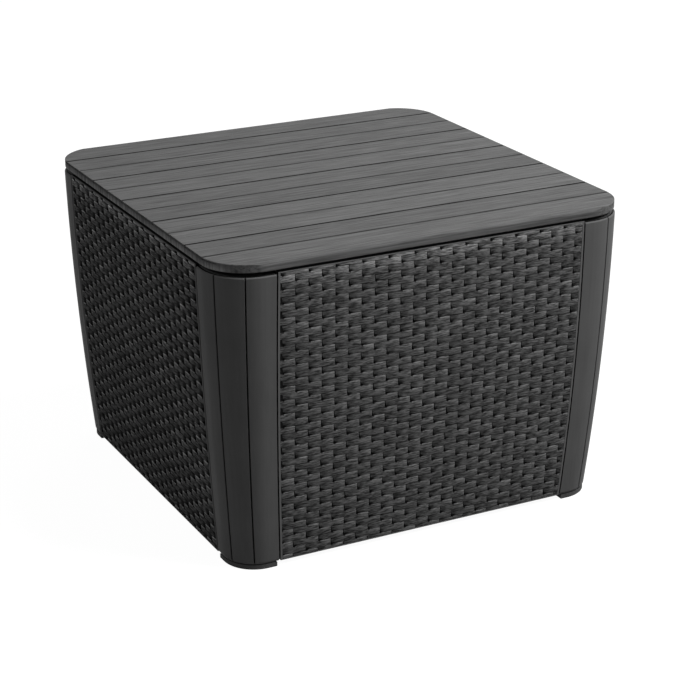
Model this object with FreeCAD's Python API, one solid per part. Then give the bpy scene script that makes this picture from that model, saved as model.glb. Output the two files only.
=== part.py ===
import FreeCAD, Part
import math
import os

Vector = FreeCAD.Vector

# Storage table: a square box that tapers to the ground, four woven-look side panels held between four
# corner posts, under a plank-look lid that is hinged along the back.
# Millimetres. The origin is on the ground under the middle, +X runs along the planks, -Y is the front, +Z is up.

# Overall sizes
table_width = 590.0
table_depth = 590.0
table_height = 420.0
foot_height = 8.0

# Shape of the sides: how far each leans in at the foot, how far it bows outward, and the corner rounding
base_inset = 23.0
side_bulge = 3.5
corner_radius_top = 60.0
corner_radius_bottom = 45.0
level_count = 5

# Shadow gaps between lid and body
lid_edge_height = 11.0
lid_gap = 3.0
post_drop = 2.5

# Clearance between pieces that slide together
fit_gap = 0.3

# Corner posts: flat run beside each panel, wall, and the two upright grooves that make three strips
post_flat = 14.0
post_wall = 3.5
strip_angle = 20.0
groove_width = 2.6
groove_depth = 2.0
post_bevel_trim = 1.2
post_bevel_height = 1.5
post_heel_trim = 1.5
post_heel_height = 3.0
post_cap_wall = 3.0
heel_flange_width = 5.0
heel_flange_wall = 3.0
wall_root = 0.8
boss_radius = 4.5
boss_gap = 0.8
boss_root = 1.5

# Inner covers that close the posts and trap the panel edges
cover_wall = 3.0
cover_edge = 2.0

# Side panels: the field of the weave is sunk between a rim at each side and an edge above and below.
# Slots part it into upright strands, which stand off the middle of the panel and close up a little downward.
panel_wall = 5.6
weave_depth = 2.8
strand_depth = 1.1
strand_pitch = 18.3
strand_shift = 5.2
strand_closing = 0.015
slot_width = 1.8
panel_rim = 2.6
panel_edge = 1.2
panel_gap = 2.0
panel_rail = 10.0
tongue_wall = 3.0
tongue_end_gap = 1.5
rib_count = 4
rib_width = 3.0
rib_depth = 2.8
top_flange_depth = 14.0
bottom_flange_depth = 18.0
flange_wall = 3.5
flange_end_gap = 2.0

# Floor of the storage space
floor_wall = 4.0
floor_gap = 1.0
floor_rib_count = 10
floor_rib_width = 2.5
floor_rib_depth = 6.0

# Feet
foot_base_height = 6.5
foot_base_setback = 1.0
foot_neck_setback = 3.0
foot_end_gap = 2.5
foot_reach = 34.0
foot_edge = 1.0
plug_height = 20.0
plug_gap = 0.5

# Lid: planked deck on top, ribbed frame below
lid_setback = 1.0
lid_corner_radius = 60.0
lid_round = 3.5
lid_end_round = 0.8
lid_lower_round = 1.0
end_groove_drop = 1.2
end_groove_height = 1.8
end_groove_depth = 1.2
plank_count = 11
plank_groove_width = 2.4
plank_groove_depth = 1.6
deck_wall = 4.0
deck_skirt = 3.5
frame_wall = 3.0
frame_upstand = 3.0
rim_depth = 14.0
rim_wall = 3.0
rim_gap = 2.0
lid_rib_count = 10
lid_rib_width = 2.5
lid_rib_depth = 8.0
seat_offset = 150.0
seat_length = 30.0
seat_width = 5.0
seat_inset = 8.5

# Hinges
hinge_share = 0.248
hinge_inset = 5.0
hinge_drop = 6.5
knuckle_radius = 4.5
knuckle_length = 46.0
ear_length = 8.0
hinge_side_gap = 0.5
hinge_notch_gap = 0.6
hinge_frame_side = 2.9
hinge_frame_drop = 3.0
saddle_wall = 3.0
saddle_gap = 0.7
saddle_setback = 0.5
bracket_wall = 3.0
bracket_drop = 28.0
hinge_pad_depth = 8.5
leaf_wall = 3.0
leaf_reach = 30.0
leaf_heel = 3.0
leaf_pocket_gap = 2.0
pin_radius = 2.5
pin_head_radius = 3.6
pin_head_length = 1.6
ear_fit = 0.02
knuckle_fit = 0.08

# Screws
screw_radius = 1.9
screw_hole_gap = 0.1
screw_head_radius = 3.8
screw_head_height = 2.2
screw_recess_width = 1.2
screw_recess_span = 4.4
screw_recess_depth = 1.2
screw_seat_depth = 0.8
screw_seat_gap = 0.4
screw_tip_gap = 0.5
post_screw_length = 14.0
post_screw_count = 3
bracket_screw_length = 6.0
bracket_screw_drop = 16.0
bracket_screw_offset = 22.0
leaf_screw_length = 8.0
leaf_screw_offset = 14.0
leaf_screw_reach = 20.0
leaf_boss_radius = 5.0

# Heights that follow from the sizes above
lid_top = table_height
lid_bottom = lid_top - lid_edge_height
panel_top = lid_bottom - lid_gap
post_top = panel_top - post_drop
body_bottom = foot_height
floor_bottom = body_bottom + flange_wall
rim_bottom = lid_bottom - rim_depth
deck_underside = lid_top - deck_wall
cover_top = post_top - post_cap_wall - fit_gap

# Depths inward from the outer face
tongue_depth = post_wall + fit_gap
cover_depth = tongue_depth + tongue_wall + fit_gap
cover_inner_depth = cover_depth + cover_wall
panel_middle = (weave_depth + panel_wall) / 2

# Distance of each hinge from the middle of the table
hinge_offset = hinge_share * table_width

origin = Vector(0, 0, 0)
along_x = Vector(1, 0, 0)
along_y = Vector(0, 1, 0)
up = Vector(0, 0, 1)


def share_down(z):
    return (panel_top - z) / (panel_top - body_bottom)


def side_inset(z):
    share = share_down(z)
    return base_inset * share - 4 * side_bulge * share * (1 - share)


def half_width(z):
    return table_width / 2 - side_inset(z)


def half_depth(z):
    return table_depth / 2 - side_inset(z)


def corner_radius(z):
    return corner_radius_top + (corner_radius_bottom - corner_radius_top) * share_down(z)


def heights(low, high):
    return [low + (high - low) * step / (level_count - 1) for step in range(level_count)]


def closed(points):
    return Part.makePolygon(points + points[:1])


def line(start, end):
    return Part.LineSegment(start, end).toShape()


def arc(start, middle, end):
    return Part.Arc(start, middle, end).toShape()


def smooth(wires):
    return Part.makeLoft(wires, True, False)


def straight(wires):
    return Part.makeLoft(wires, True, True)


def prism(wire, height):
    return Part.Face(wire).extrude(Vector(0, 0, height))


def block(x0, x1, y0, y1, z0, z1):
    return Part.makeBox(x1 - x0, y1 - y0, z1 - z0, Vector(x0, y0, z0))


def edges_at(shape, z):
    return [edge for edge in shape.Edges if all(abs(vertex.Z - z) < 1e-6 for vertex in edge.Vertexes)]


def rounded_rectangle(half_x, half_y, radius, z):
    edges = []
    quarter = math.pi / 2
    corners = [(1, 1), (-1, 1), (-1, -1), (1, -1)]
    ends = []
    for number, (side_x, side_y) in enumerate(corners):
        cx = side_x * (half_x - radius)
        cy = side_y * (half_y - radius)
        rim = []
        for part in (0, 0.5, 1):
            angle = quarter * (number + part)
            rim.append(Vector(cx + radius * math.cos(angle), cy + radius * math.sin(angle), z))
        ends.append(rim)
    for number, rim in enumerate(ends):
        edges.append(arc(rim[0], rim[1], rim[2]))
        edges.append(line(rim[2], ends[(number + 1) % len(ends)][0]))
    return Part.Wire(edges)


# Plan of the space between the inner covers: a square with its corners cut off
def inner_octagon(level, side_depth, cover_clear, z):
    half_x = half_width(level) - side_depth
    half_y = half_depth(level) - side_depth
    corner_sum = half_width(level) + half_depth(level) - corner_radius(level) - cover_depth
    corner_sum = corner_sum - (cover_wall + cover_clear) * math.sqrt(2)
    short_x = corner_sum - half_y
    short_y = corner_sum - half_x
    points = [(half_x, -short_y), (half_x, short_y), (short_x, half_y), (-short_x, half_y)]
    points = points + [(-x, -y) for x, y in points]
    return closed([Vector(x, y, z) for x, y in points])


# One pan-head screw with a cross recess, seated at `seat` and driven along `direction`
def screw(seat, direction, length):
    shank = Part.makeCylinder(screw_radius, length)
    head = Part.makeCylinder(screw_head_radius, screw_head_height, Vector(0, 0, -screw_head_height))
    body = head.fuse(shank).removeSplitter()
    span = screw_recess_span / 2
    width = screw_recess_width / 2
    floor = -screw_head_height + screw_recess_depth
    recess = block(-span, span, -width, width, -screw_head_height, floor)
    recess = recess.fuse(block(-width, width, -span, span, -screw_head_height, floor))
    body = body.cut(recess)
    body.Placement = FreeCAD.Placement(seat, FreeCAD.Rotation(up, direction))
    return body


def screw_hole(seat, direction, length):
    return Part.makeCylinder(screw_radius + screw_hole_gap, length + screw_tip_gap, seat, direction)


# The corner pieces are made for the corner at +X +Y and mirrored to the others
def to_corner(shape, side_x, side_y):
    if side_x < 0:
        shape = shape.mirror(origin, along_x)
    if side_y < 0:
        shape = shape.mirror(origin, along_y)
    return shape


diagonal = Vector(math.sqrt(0.5), math.sqrt(0.5), 0)


# Middle of the inner cover's outer face at a height
def cover_middle(z):
    back = (corner_radius(z) + cover_depth) / 2
    return Vector(half_width(z) - back, half_depth(z) - back, z)


def post_screw_heights():
    step = (cover_top - body_bottom) / (post_screw_count + 1)
    return [body_bottom + step * (number + 1) for number in range(post_screw_count)]


def post_screw_seat(z):
    return cover_middle(z) - diagonal * (cover_wall - screw_seat_depth)


# Plan of the post's wall: outer face with its two grooves, end faces beside the panels, inner face
def post_section(z, trim=0.0):
    radius = corner_radius(z)
    cx = half_width(z) - radius
    cy = half_depth(z) - radius
    outer = radius - trim
    inner = radius - post_wall
    half_groove = groove_width / (2 * radius)

    def rim(angle, distance):
        return Vector(cx + distance * math.cos(angle), cy + distance * math.sin(angle), z)

    def sweep(start, end, distance):
        return arc(rim(start, distance), rim((start + end) / 2, distance), rim(end, distance))

    quarter = math.pi / 2
    first = Vector(cx - post_flat, cy + outer, z)
    edges = [line(first, rim(quarter, outer))]
    here = quarter
    for groove in (math.radians(45 + strip_angle), math.radians(45 - strip_angle)):
        valley = rim(groove, radius - groove_depth)
        edges.append(sweep(here, groove + half_groove, outer))
        edges.append(line(rim(groove + half_groove, outer), valley))
        edges.append(line(valley, rim(groove - half_groove, outer)))
        here = groove - half_groove
    edges.append(sweep(here, 0, outer))
    tail = [rim(0, outer), Vector(cx + outer, cy - post_flat, z), Vector(cx + inner, cy - post_flat, z), rim(0, inner)]
    for start, end in zip(tail, tail[1:]):
        edges.append(line(start, end))
    edges.append(sweep(0, quarter, inner))
    edges.append(line(rim(quarter, inner), Vector(cx - post_flat, cy + inner, z)))
    edges.append(line(Vector(cx - post_flat, cy + inner, z), first))
    return Part.Wire(edges)


# Plan of the plate that closes the top of the post, reaching inward over the cover
def post_cap(z):
    radius = corner_radius(z)
    cx = half_width(z) - radius
    cy = half_depth(z) - radius
    middle = radius - post_wall + wall_root
    inner = radius - cover_inner_depth
    end = post_flat - fit_gap
    bend = cover_wall * (math.sqrt(2) - 1)
    slant = math.sqrt(0.5) * middle
    points = [Vector(cx + middle, cy, z), Vector(cx + middle, cy - end, z), Vector(cx + inner, cy - end, z),
              Vector(cx + inner, cy - bend, z), Vector(cx - bend, cy + inner, z), Vector(cx - end, cy + inner, z),
              Vector(cx - end, cy + middle, z), Vector(cx, cy + middle, z)]
    edges = [line(start, end_point) for start, end_point in zip(points, points[1:])]
    edges.append(arc(points[-1], Vector(cx + slant, cy + slant, z), points[0]))
    return Part.Wire(edges)


# Flange inside the post's lower end, which stands on the foot
def heel_flange():
    radius = corner_radius(body_bottom)
    cx = half_width(body_bottom) - radius
    cy = half_depth(body_bottom) - radius
    rims = []
    for distance in (radius - post_wall + wall_root, radius - post_wall - heel_flange_width):
        slant = math.sqrt(0.5) * distance
        rims.append([Vector(cx + distance, cy, body_bottom), Vector(cx + slant, cy + slant, body_bottom),
                     Vector(cx, cy + distance, body_bottom)])
    outer, inner = rims
    edges = [arc(outer[0], outer[1], outer[2]), line(outer[2], inner[2]), arc(inner[2], inner[1], inner[0]),
             line(inner[0], outer[0])]
    return prism(Part.Wire(edges), heel_flange_wall)


def corner_post():
    low = body_bottom + post_heel_height
    high = post_top - post_bevel_height
    shell = smooth([post_section(z) for z in heights(low, high)])
    heel = straight([post_section(body_bottom, post_heel_trim), post_section(low)])
    bevel = straight([post_section(high), post_section(post_top, post_bevel_trim)])
    cap = prism(post_cap(post_top - post_cap_wall), post_cap_wall)
    pieces = [heel, bevel, cap, heel_flange()]
    for z in post_screw_heights():
        radius = corner_radius(z)
        reach = radius - post_wall - (radius - cover_depth) * math.sqrt(0.5)
        start = cover_middle(z) + diagonal * boss_gap
        pieces.append(Part.makeCylinder(boss_radius, reach - boss_gap + boss_root, start, diagonal))
    post = shell.fuse(pieces)
    for z in post_screw_heights():
        post = post.cut(screw_hole(post_screw_seat(z), diagonal, post_screw_length))
    return post


def cover_section(z):
    half_x = half_width(z)
    half_y = half_depth(z)
    radius = corner_radius(z)
    edge_x = half_x - radius - post_flat + cover_edge
    edge_y = half_y - radius - post_flat + cover_edge
    bend = cover_wall * (math.sqrt(2) - 1)
    outer_x = half_x - cover_depth
    outer_y = half_y - cover_depth
    inner_x = half_x - cover_inner_depth
    inner_y = half_y - cover_inner_depth
    points = [(edge_x, outer_y), (half_x - radius, outer_y), (outer_x, half_y - radius), (outer_x, edge_y),
              (inner_x, edge_y), (inner_x, half_y - radius - bend), (half_x - radius - bend, inner_y), (edge_x, inner_y)]
    return closed([Vector(x, y, z) for x, y in points])


def inner_cover():
    cover = smooth([cover_section(z) for z in heights(body_bottom, cover_top)])
    for z in post_screw_heights():
        seat = post_screw_seat(z)
        pocket = Part.makeCylinder(screw_head_radius + screw_seat_gap, cover_wall, seat - diagonal * cover_wall, diagonal)
        cover = cover.cut(screw_hole(seat, diagonal, post_screw_length)).cut(pocket)
    return cover


# Plan of a foot: follows the post's outline, set back from it, with a cut-off inner corner
def foot_outline(setback, z):
    radius = corner_radius(body_bottom)
    cx = half_width(body_bottom) - radius
    cy = half_depth(body_bottom) - radius
    outer = radius - setback
    slant = math.sqrt(0.5) * outer
    end = post_flat - foot_end_gap - setback + foot_base_setback
    inner = outer - foot_reach
    points = [Vector(cx + outer, cy, z), Vector(cx + outer, cy - end, z), Vector(cx + inner, cy - end, z),
              Vector(cx - end, cy + inner, z), Vector(cx - end, cy + outer, z), Vector(cx, cy + outer, z)]
    edges = [line(start, end_point) for start, end_point in zip(points, points[1:])]
    edges.append(arc(points[-1], Vector(cx + slant, cy + slant, z), points[0]))
    return Part.Wire(edges)


# Plan of the plug that stands up inside the hollow post, between its heel flange and the cover
def plug_outline(z):
    radius = corner_radius(body_bottom)
    cx = half_width(body_bottom) - radius
    cy = half_depth(body_bottom) - radius
    outer = radius - post_wall - heel_flange_width - plug_gap
    plug_top = body_bottom + plug_height
    corner_sum = half_width(plug_top) + half_depth(plug_top) - corner_radius(plug_top) - cover_depth
    chord = (corner_sum - cx - cy) * math.sqrt(0.5) + plug_gap
    spread = math.acos(chord / outer)
    rim = []
    for angle in (math.pi / 4 - spread, math.pi / 4, math.pi / 4 + spread):
        rim.append(Vector(cx + outer * math.cos(angle), cy + outer * math.sin(angle), z))
    return Part.Wire([arc(rim[0], rim[1], rim[2]), line(rim[2], rim[0])])


def foot():
    base = prism(foot_outline(foot_base_setback, 0), foot_base_height)
    base = base.makeChamfer(foot_edge, edges_at(base, 0))
    neck = prism(foot_outline(foot_neck_setback, foot_base_height), foot_height - foot_base_height)
    plug = prism(plug_outline(foot_height), plug_height)
    return base.fuse([neck, plug]).removeSplitter()


def weave_edge(z, half_along):
    return half_along(z) - corner_radius(z) - post_flat - panel_gap - panel_rim


# Middles of the slots between the upright strands, all of them inside the rims from top to bottom
def slot_middles(z, half_along, shift):
    limit = weave_edge(body_bottom, half_along) - slot_width
    reach = int(limit / strand_pitch) + 1
    numbers = range(-reach, reach + 1)
    chosen = [number for number in numbers if abs(strand_pitch * number * (1 - strand_closing) + shift) < limit]
    closing = 1 - strand_closing * share_down(z)
    return [strand_pitch * number * closing + shift for number in chosen]


# Plan of a side panel for the +Y side: slotted plate between rims, edge rails with tongues, upright ribs inside
def panel_section(z, half_along, half_across, shift):
    face = half_across(z)
    border = half_along(z) - corner_radius(z) - post_flat
    edge = border - panel_gap
    tip = border + post_flat - tongue_end_gap
    rim = weave_edge(z, half_along)
    rail = edge - panel_rail
    back = tongue_depth + tongue_wall
    right = [(rim, strand_depth), (rim, 0), (edge, 0), (edge, tongue_depth), (tip, tongue_depth), (tip, back),
             (rail, back), (rail, panel_wall)]
    left = [(-along, depth) for along, depth in reversed(right)]
    ribs = []
    for number in range(rib_count):
        middle = rail - 2 * rail * (number + 1) / (rib_count + 1)
        near = middle + rib_width / 2
        far = middle - rib_width / 2
        ribs.extend([(near, panel_wall), (near, panel_wall + rib_depth), (far, panel_wall + rib_depth), (far, panel_wall)])
    slots = []
    for middle in slot_middles(z, half_along, shift):
        near = middle - slot_width / 2
        far = middle + slot_width / 2
        slots.extend([(near, strand_depth), (near, weave_depth), (far, weave_depth), (far, strand_depth)])
    return closed([Vector(along, face - depth, z) for along, depth in right + ribs + left + slots])


def side_panel(half_along, half_across, shift):
    panel = smooth([panel_section(z, half_along, half_across, shift) for z in heights(body_bottom, panel_top)])
    tongue_top = cover_top
    edge = half_along(tongue_top) - corner_radius(tongue_top) - post_flat - panel_gap
    reach = edge + panel_gap + post_flat
    face = half_across(panel_top)
    for side in (-1, 1):
        ends = sorted((side * edge, side * reach))
        panel = panel.cut(block(ends[0], ends[1], face - cover_inner_depth, face, tongue_top, panel_top))
    top_end = edge - flange_end_gap
    low_end = half_along(body_bottom) - corner_radius(body_bottom) - post_flat - panel_gap - flange_end_gap
    low_face = half_across(body_bottom)
    flanges = [block(-top_end, top_end, face - top_flange_depth, face - panel_middle, panel_top - flange_wall, panel_top),
               block(-low_end, low_end, low_face - bottom_flange_depth, low_face - panel_middle, body_bottom, floor_bottom)]
    edges = [block(-top_end, top_end, face - panel_middle, face, panel_top - panel_edge, panel_top),
             block(-low_end, low_end, low_face - panel_middle, low_face, body_bottom, body_bottom + panel_edge)]
    return panel.fuse(flanges + edges)


# Hinge line and the faces that follow from it
hinge_y = half_depth(panel_top) - hinge_inset
hinge_z = lid_bottom - hinge_drop
hinge_pad_y = half_depth(panel_top) - hinge_pad_depth
bracket_half = knuckle_length / 2 + hinge_side_gap + ear_length
notch_half = bracket_half + pin_head_length + hinge_notch_gap
saddle_bottom = hinge_z - knuckle_radius - saddle_gap - saddle_wall
saddle_top = saddle_bottom + saddle_wall
leaf_front = hinge_y - knuckle_radius - leaf_reach


def bracket_screw_seats(x):
    z = saddle_bottom - bracket_screw_drop
    return [Vector(x + side * bracket_screw_offset, hinge_pad_y - bracket_wall, z) for side in (-1, 1)]


def leaf_screw_seats(x):
    y = hinge_y - knuckle_radius - leaf_screw_reach
    return [Vector(x + side * leaf_screw_offset, y, lid_bottom - leaf_wall) for side in (-1, 1)]


# The back panel has a framed notch and a thick pad for each hinge
def back_panel():
    panel = side_panel(half_width, half_depth, -strand_shift)
    outside = half_depth(panel_top)
    for x in (-hinge_offset, hinge_offset):
        pad_bottom = saddle_bottom - bracket_drop
        pad = block(x - notch_half, x + notch_half, hinge_pad_y, half_depth(pad_bottom) - panel_middle,
                    pad_bottom, saddle_bottom)
        frame_half = notch_half + hinge_frame_side
        frame_bottom = saddle_bottom - hinge_frame_drop
        frame = block(x - frame_half, x + frame_half, outside - panel_middle, half_depth(frame_bottom),
                      frame_bottom, panel_top)
        notch = block(x - notch_half, x + notch_half, outside - top_flange_depth - fit_gap, outside,
                      saddle_bottom, panel_top)
        panel = panel.fuse([pad, frame]).cut(notch)
        rib_zone = block(x - notch_half, x + notch_half, hinge_pad_y - panel_wall - rib_depth, hinge_pad_y,
                         pad_bottom, saddle_bottom)
        panel = panel.cut(rib_zone)
        for seat in bracket_screw_seats(x):
            panel = panel.cut(screw_hole(seat, along_y, bracket_screw_length))
    return panel


def hinge_bracket(x):
    outside = half_depth(panel_top)
    inner = hinge_pad_y - bracket_wall
    plate = block(x - bracket_half, x + bracket_half, inner, hinge_pad_y, saddle_bottom - bracket_drop, saddle_top)
    saddle = block(x - bracket_half, x + bracket_half, inner, outside - saddle_setback, saddle_bottom, saddle_top)
    bracket = plate.fuse(saddle)
    for side in (-1, 1):
        start = x + side * (bracket_half - ear_length / 2) - ear_length / 2
        post = block(start, start + ear_length, hinge_y - knuckle_radius, hinge_y + knuckle_radius, saddle_bottom, hinge_z)
        ear = post.fuse(Part.makeCylinder(knuckle_radius, ear_length, Vector(start, hinge_y, hinge_z), along_x))
        bracket = bracket.fuse(ear)
    bore = Part.makeCylinder(pin_radius + ear_fit, 2 * bracket_half, Vector(x - bracket_half, hinge_y, hinge_z), along_x)
    bracket = bracket.cut(bore)
    for seat in bracket_screw_seats(x):
        bracket = bracket.cut(screw_hole(seat, along_y, bracket_screw_length))
    return bracket.removeSplitter()


def hinge_leaf(x):
    half = knuckle_length / 2
    knuckle = Part.makeCylinder(knuckle_radius, knuckle_length, Vector(x - half, hinge_y, hinge_z), along_x)
    web = block(x - half, x + half, hinge_y - knuckle_radius, hinge_y + leaf_heel, hinge_z, lid_bottom)
    plate = block(x - half, x + half, leaf_front, hinge_y, lid_bottom - leaf_wall, lid_bottom)
    leaf = knuckle.fuse([web, plate])
    bore = Part.makeCylinder(pin_radius + knuckle_fit, knuckle_length, Vector(x - half, hinge_y, hinge_z), along_x)
    leaf = leaf.cut(bore)
    for seat in leaf_screw_seats(x):
        leaf = leaf.cut(screw_hole(seat, up, leaf_screw_length))
    return leaf.removeSplitter()


# The pin's head is on the side away from the middle of the table
def hinge_pin(x):
    outward = along_x * math.copysign(1, x)
    start = Vector(x, hinge_y, hinge_z) - outward * bracket_half
    shaft = Part.makeCylinder(pin_radius, 2 * bracket_half, start, outward)
    head_start = start + outward * 2 * bracket_half
    head = Part.makeCylinder(pin_head_radius, pin_head_length, head_start, outward)
    return shaft.fuse(head).removeSplitter()


def floor_panel():
    outline = inner_octagon(floor_bottom, cover_inner_depth + floor_gap, floor_gap, floor_bottom)
    floor = prism(outline, floor_wall)
    rib_bottom = floor_bottom - floor_rib_depth
    inside = bottom_flange_depth + floor_gap
    half_x = half_width(body_bottom) - inside
    half_y = half_depth(body_bottom) - inside
    ribs = []
    for number in range(floor_rib_count):
        place = (2 * number + 1) / floor_rib_count - 1
        x = place * half_x
        y = place * half_y
        ribs.append(block(x - floor_rib_width / 2, x + floor_rib_width / 2, -half_y, half_y, rib_bottom, floor_bottom))
        ribs.append(block(-half_x, half_x, y - floor_rib_width / 2, y + floor_rib_width / 2, rib_bottom, floor_bottom))
    foot_zone = inner_octagon(floor_bottom, inside, foot_reach, rib_bottom)
    ribs = ribs[0].fuse(ribs[1:]).common(prism(foot_zone, floor_rib_depth))
    return floor.fuse(ribs).removeSplitter()


lid_half_x = table_width / 2 - lid_setback
lid_half_y = table_depth / 2 - lid_setback


# Bar along X as deep as the lid, its upper front and back edges rounded over
def lid_bar():
    end = lid_half_x + lid_setback
    bar = block(-end, end, -lid_half_y, lid_half_y, lid_bottom - lid_gap, lid_top)
    long_edges = [edge for edge in edges_at(bar, lid_top) if edge.Length > 2 * lid_half_x]
    return bar.makeFillet(lid_round, long_edges)


# Groove under the plank ends, on the left and right side of the lid
def end_grooves():
    z = lid_top - end_groove_drop - end_groove_height
    outer = rounded_rectangle(table_width / 2, table_depth / 2, lid_corner_radius + lid_setback, z)
    inset = lid_setback + end_groove_depth
    inner = rounded_rectangle(table_width / 2 - inset, table_depth / 2 - inset, lid_corner_radius - end_groove_depth, z)
    ring = prism(outer, end_groove_height).cut(prism(inner, end_groove_height))
    side_end = lid_half_y - lid_corner_radius / 2
    return ring.common(block(-table_width, table_width, -side_end, side_end, z, z + end_groove_height))


# Top of the lid: one moulding with a skirt, grooved so that it reads as planks
def lid_deck():
    deck = prism(rounded_rectangle(lid_half_x, lid_half_y, lid_corner_radius, lid_bottom), lid_edge_height)
    deck = deck.makeFillet(lid_end_round, edges_at(deck, lid_top))
    deck = deck.makeFillet(lid_lower_round, edges_at(deck, lid_bottom))
    deck = deck.common(lid_bar()).cut(end_grooves())
    cavity = rounded_rectangle(lid_half_x - deck_skirt, lid_half_y - deck_skirt, lid_corner_radius - deck_skirt, lid_bottom)
    deck = deck.cut(prism(cavity, deck_underside - lid_bottom))
    pitch = 2 * (lid_half_y - lid_round) / plank_count
    for number in range(1, plank_count):
        y = -lid_half_y + lid_round + pitch * number
        half = plank_groove_width / 2
        groove = closed([Vector(-lid_half_x, y - half, lid_top), Vector(-lid_half_x, y + half, lid_top),
                         Vector(-lid_half_x, y, lid_top - plank_groove_depth)])
        deck = deck.cut(Part.Face(groove).extrude(Vector(2 * lid_half_x, 0, 0)))
    return deck


# Underside of the lid: closing plate, upstand that carries the deck, locating rim, ribs and seats
def lid_frame():
    back = deck_skirt + fit_gap
    outline = rounded_rectangle(lid_half_x - back, lid_half_y - back, lid_corner_radius - back, lid_bottom)
    tall = prism(outline, deck_underside - lid_bottom)
    inside = back + frame_upstand
    well = rounded_rectangle(lid_half_x - inside, lid_half_y - inside, lid_corner_radius - inside, lid_bottom + frame_wall)
    frame = tall.cut(prism(well, deck_underside - lid_bottom))
    side_depth = top_flange_depth + rim_gap
    rim = prism(inner_octagon(rim_bottom, side_depth, rim_gap, rim_bottom), rim_depth)
    hollow = prism(inner_octagon(rim_bottom, side_depth + rim_wall, rim_gap + rim_wall, rim_bottom), rim_depth)
    half_x = half_width(rim_bottom) - side_depth
    half_y = half_depth(rim_bottom) - side_depth
    ribs = []
    for number in range(lid_rib_count):
        x = half_x * (2 * (number + 1) / (lid_rib_count + 1) - 1)
        y = half_y * (2 * (number + 1) / (lid_rib_count + 1) - 1)
        low = lid_bottom - lid_rib_depth
        ribs.append(block(x - lid_rib_width / 2, x + lid_rib_width / 2, -half_y, half_y, low, lid_bottom))
        ribs.append(block(-half_x, half_x, y - lid_rib_width / 2, y + lid_rib_width / 2, low, lid_bottom))
    ribs = ribs[0].fuse(ribs[1:]).common(hollow)
    frame = frame.fuse([rim.cut(hollow), ribs])
    for x in (-hinge_offset, hinge_offset):
        half = knuckle_length / 2 + leaf_pocket_gap
        pocket = block(x - half, x + half, leaf_front - leaf_pocket_gap, hinge_y + knuckle_radius, rim_bottom, lid_bottom)
        frame = frame.cut(pocket)
        for seat in leaf_screw_seats(x):
            boss_height = deck_underside - lid_bottom
            frame = frame.fuse(Part.makeCylinder(leaf_boss_radius, boss_height, Vector(seat.x, seat.y, lid_bottom)))
            frame = frame.cut(screw_hole(seat, up, leaf_screw_length))
    front = half_depth(panel_top) - seat_inset
    side = half_width(panel_top) - seat_inset
    for place in (-seat_offset, seat_offset):
        start = place - seat_length / 2
        end = place + seat_length / 2
        seats = [block(start, end, -front, -front + seat_width, panel_top, lid_bottom),
                 block(-side, -side + seat_width, start, end, panel_top, lid_bottom),
                 block(side - seat_width, side, start, end, panel_top, lid_bottom)]
        frame = frame.fuse(seats)
    return frame.removeSplitter()


def turned(shape, degrees):
    shape = shape.copy()
    shape.rotate(origin, up, degrees)
    return shape


def save(name, shape):
    shape.exportStep("parts/" + name + ".step")


os.makedirs("parts", exist_ok=True)

corners = {"front_left": (-1, -1), "front_right": (1, -1), "back_left": (-1, 1), "back_right": (1, 1)}
post_shape = corner_post()
cover_shape = inner_cover()
foot_shape = foot()
post_screws = []
for corner, (side_x, side_y) in corners.items():
    save("corner_post_" + corner, to_corner(post_shape, side_x, side_y))
    save("inner_cover_" + corner, to_corner(cover_shape, side_x, side_y))
    save("foot_" + corner, to_corner(foot_shape, side_x, side_y))
    for z in post_screw_heights():
        post_screws.append(to_corner(screw(post_screw_seat(z), diagonal, post_screw_length), side_x, side_y))
save("post_screws", Part.makeCompound(post_screws))

save("front_panel", turned(side_panel(half_width, half_depth, -strand_shift), 180))
save("back_panel", back_panel())
save("left_panel", turned(side_panel(half_depth, half_width, strand_shift), 90))
save("right_panel", turned(side_panel(half_depth, half_width, strand_shift), -90))
save("floor_panel", floor_panel())

save("lid_deck", lid_deck())
save("lid_frame", lid_frame())

bracket_screws = []
leaf_screws = []
for side_name, x in (("left", -hinge_offset), ("right", hinge_offset)):
    save("hinge_bracket_" + side_name, hinge_bracket(x))
    save("hinge_leaf_" + side_name, hinge_leaf(x))
    save("hinge_pin_" + side_name, hinge_pin(x))
    bracket_screws.extend([screw(seat, along_y, bracket_screw_length) for seat in bracket_screw_seats(x)])
    leaf_screws.extend([screw(seat, up, leaf_screw_length) for seat in leaf_screw_seats(x)])
save("bracket_screws", Part.makeCompound(bracket_screws))
save("leaf_screws", Part.makeCompound(leaf_screws))
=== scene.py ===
import math
import bpy
from mathutils import Matrix, Vector


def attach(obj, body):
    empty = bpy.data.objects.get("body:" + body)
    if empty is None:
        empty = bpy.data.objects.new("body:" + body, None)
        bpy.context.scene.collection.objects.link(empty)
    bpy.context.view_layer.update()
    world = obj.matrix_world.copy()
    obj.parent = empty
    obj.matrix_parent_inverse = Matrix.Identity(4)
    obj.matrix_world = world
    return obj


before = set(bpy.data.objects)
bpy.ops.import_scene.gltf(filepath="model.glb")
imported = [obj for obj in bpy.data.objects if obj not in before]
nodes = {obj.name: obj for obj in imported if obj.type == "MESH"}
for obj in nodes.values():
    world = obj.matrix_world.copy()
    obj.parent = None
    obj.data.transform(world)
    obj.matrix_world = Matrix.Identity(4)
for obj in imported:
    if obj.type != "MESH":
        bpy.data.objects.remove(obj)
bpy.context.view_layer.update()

corners = ("front_left", "front_right", "back_left", "back_right")


# Feet: four blocks plugged into the lower ends of the posts and set back under their edges.
# Moulded polypropylene, coloured through in dark grey, dull because nobody polishes a foot's mould.

def linear(colour):
    shares = [int(colour[place:place + 2], 16) / 255 for place in (1, 3, 5)]
    bent = [share / 12.92 if share <= 0.04045 else ((share + 0.055) / 1.055) ** 2.4 for share in shares]
    return (*bent, 1.0)


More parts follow.
